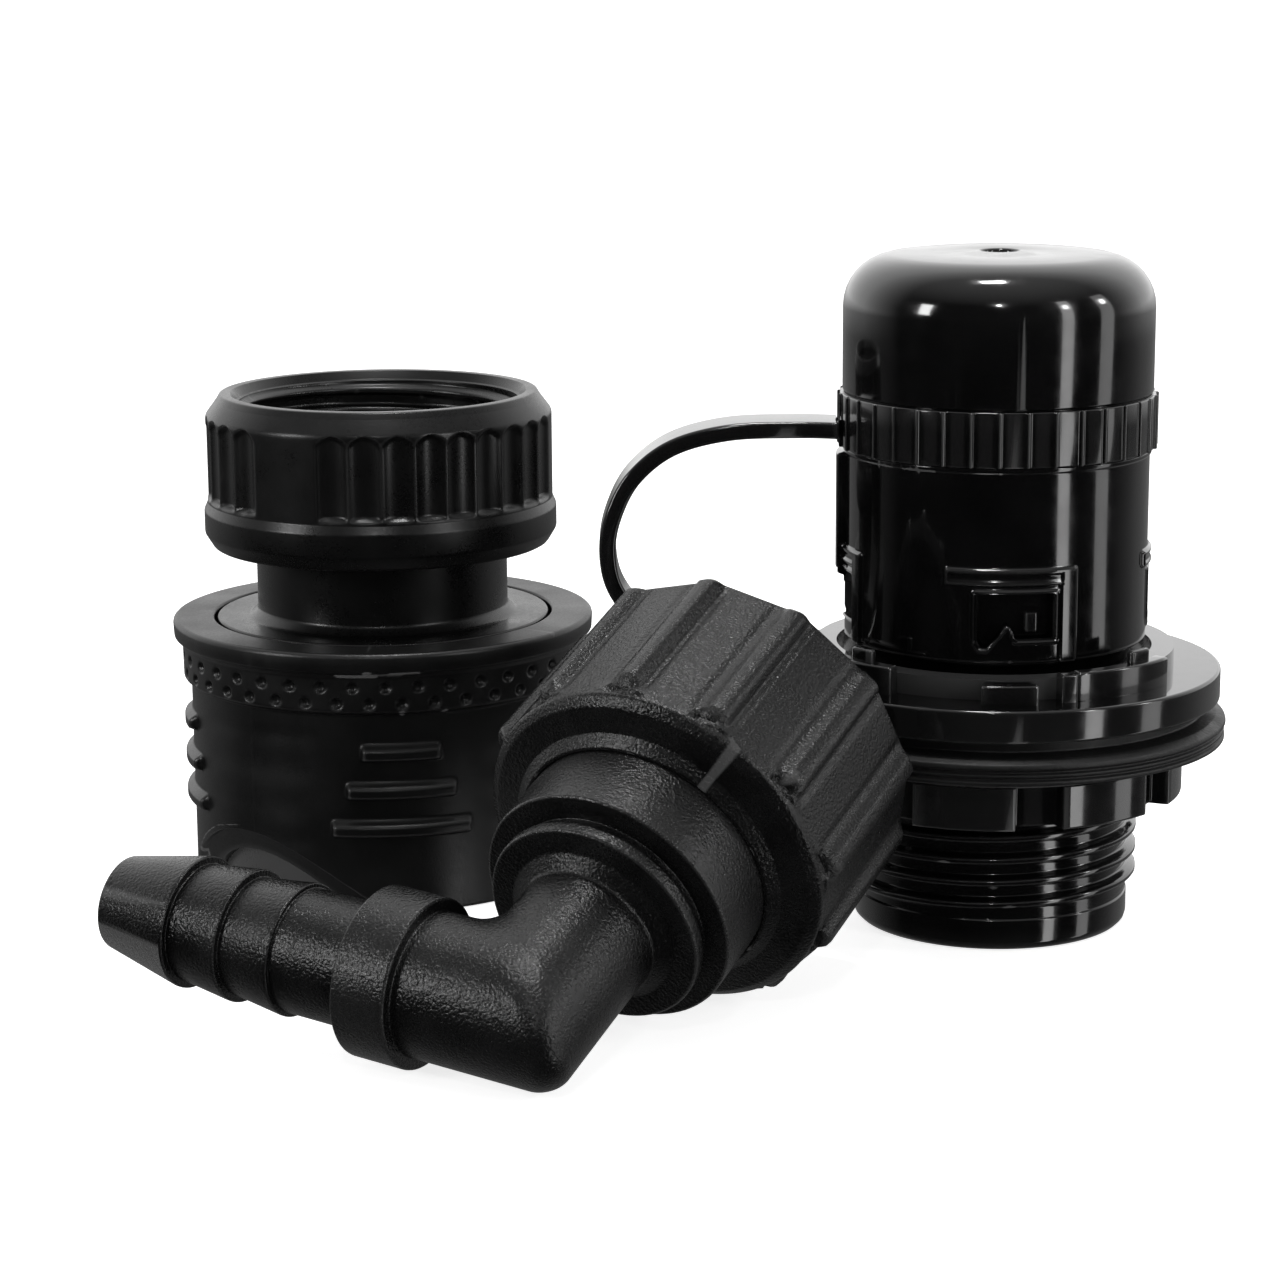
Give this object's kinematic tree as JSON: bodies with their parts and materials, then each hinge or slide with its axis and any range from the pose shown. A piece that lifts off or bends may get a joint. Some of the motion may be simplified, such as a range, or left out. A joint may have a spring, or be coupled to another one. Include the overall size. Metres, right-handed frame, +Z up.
{
  "type": "capped water inlet valve kit",
  "caption": "Capped bayonet water inlet valve on a threaded spigot, with its sleeve quick coupling and a swivel-nut hose elbow.",
  "frame": {"origin": "centre of the valve's spigot nose, on the surface that the kit stands on", "axes": "+Z up along the valve's axis, +X from the coupling towards the valve, -Y towards the elbow"},
  "size_m": [0.0979, 0.0928, 0.0609],
  "materials": {
    "gloss_black": "moulded, polished",
    "satin_black": "moulded, satin",
    "soft_black": "soft-touch over-moulding",
    "grain_black": "moulded, fine spark-eroded grain",
    "seal_rubber": "matte",
    "acetal_grey": "moulded",
    "spring_steel": "drawn wire"
  },
  "bodies": {
    "root": {"inlet_body": "gloss_black", "hose_nipple": "gloss_black", "nipple_o_ring": "seal_rubber", "panel_gasket": "seal_rubber", "check_cage": "acetal_grey", "check_spring": "spring_steel", "tether_strap": "gloss_black", "tether_base_ring": "gloss_black"},
    "check_valve": {"check_poppet": "acetal_grey", "check_seal": "seal_rubber"},
    "washer": {"backing_washer": "satin_black"},
    "ring_nut": {"lock_ring": "gloss_black"},
    "tether_head": {"tether_cap_ring": "gloss_black"},
    "cap_unit": {"cap": "gloss_black", "cap_seal_ring": "seal_rubber"},
    "coupling": {"coupling_body": "satin_black", "coupling_nut_clip": "spring_steel", "coupling_nut_washer": "seal_rubber", "jaw_ring": "acetal_grey", "jaw_spring": "spring_steel", "socket_o_ring": "seal_rubber", "stop_cage": "acetal_grey", "stop_spring": "spring_steel", "sleeve_spring": "spring_steel"},
    "tap_nut": {"coupling_nut": "satin_black"},
    "release_sleeve": {"grip_sleeve": "soft_black", "sleeve_carrier": "satin_black"},
    "stop_valve": {"stop_poppet": "acetal_grey", "stop_poppet_o_ring": "seal_rubber"},
    "elbow": {"elbow_body": "grain_black", "elbow_clip": "spring_steel", "elbow_nut_washer": "seal_rubber"},
    "swivel_nut": {"elbow_nut": "grain_black"}
  },
  "joints": [
    {"name": "cap_lift", "type": "slide", "parent": "root", "child": "tether_head", "axis": [0, 0, 1], "range_m": [0, 0.035], "deforming": ["tether_strap"]},
    {"name": "cap_turn", "type": "hinge", "parent": "tether_head", "child": "cap_unit", "pos_m": [0, 0, 0.046], "axis": [0, 0, 1], "range_deg": [0, 16]},
    {"name": "check_open", "type": "slide", "parent": "root", "child": "check_valve", "axis": [0, 0, -1], "range_m": [0, 0.003], "stiffness_N_per_m": 60, "springref_m": -0.003, "deforming": ["check_spring"]},
    {"name": "washer_slide", "type": "slide", "parent": "root", "child": "washer", "axis": [0, 0, -1], "range_m": [0, 0.0072]},
    {"name": "lock_turn", "type": "hinge", "parent": "washer", "child": "ring_nut", "pos_m": [0, 0, 0.0142], "axis": [0, 0, -1], "range_deg": [0, 1290]},
    {"name": "coupling_lift", "type": "slide", "parent": "root", "child": "coupling", "axis": [0, 0, 1], "range_m": [0, 0.08]},
    {"name": "tap_nut_turn", "type": "hinge", "parent": "coupling", "child": "tap_nut", "pos_m": [-0.0567, 0.0186, 0.038], "axis": [0, 0, 1], "continuous": true},
    {"name": "sleeve_release", "type": "slide", "parent": "coupling", "child": "release_sleeve", "axis": [0, 0, 1], "range_m": [0, 0.0045], "stiffness_N_per_m": 300, "springref_m": -0.003, "deforming": ["sleeve_spring"]},
    {"name": "stop_open", "type": "slide", "parent": "coupling", "child": "stop_valve", "axis": [0, 0, 1], "range_m": [0, 0.004], "stiffness_N_per_m": 60, "springref_m": -0.003, "deforming": ["stop_spring"]},
    {"name": "elbow_lift", "type": "slide", "parent": "root", "child": "elbow", "axis": [-0.2601, -0.3901, 0.8833], "range_m": [0, 0.08]},
    {"name": "swivel_turn", "type": "hinge", "parent": "elbow", "child": "swivel_nut", "pos_m": [-0.02705, -0.02237, 0.01773], "axis": [0.4717, 0.7944, 0.3827], "continuous": true}
  ],
  "couplings": [
    {"joint": "washer_slide", "follows": "lock_turn", "m_per_rad": 0.00031831}
  ]
}
